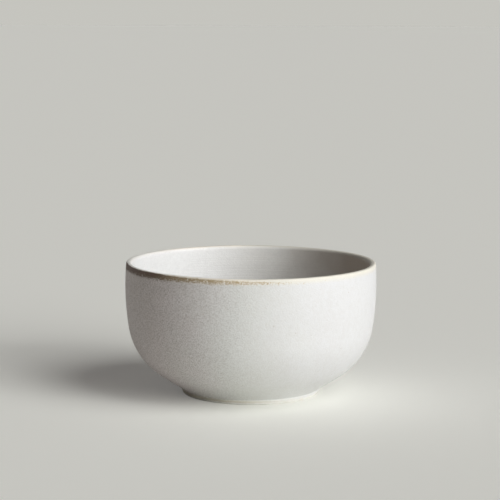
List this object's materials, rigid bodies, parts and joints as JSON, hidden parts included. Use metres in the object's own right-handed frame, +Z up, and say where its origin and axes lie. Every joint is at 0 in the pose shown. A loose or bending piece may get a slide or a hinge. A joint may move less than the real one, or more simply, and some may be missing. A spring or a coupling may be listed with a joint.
{
  "type": "latte bowl",
  "caption": "Handle-less stoneware latte bowl with a steep wall, round belly, tapering underside and low foot ring, satin white glaze and a tan lip; stands on its foot and holds a hot drink.",
  "frame": {"origin": "centre of the foot ring's resting face", "axes": "+Z up along the axis that the bowl is turned about; X and Y are level and alike"},
  "size_m": [0.145, 0.145, 0.076],
  "materials": {
    "bare_stoneware": "matte, unglazed and sanded",
    "white_glaze": "satin, finely mottled warm white",
    "breaking_rim_glaze": "satin, cream that breaks to tan and brown grains"
  },
  "bodies": {
    "root": {"stoneware_body": "bare_stoneware", "inner_glaze": "white_glaze", "outer_glaze": "white_glaze", "rim_glaze": "breaking_rim_glaze", "foot_well_glaze": "white_glaze"}
  },
  "joints": []
}
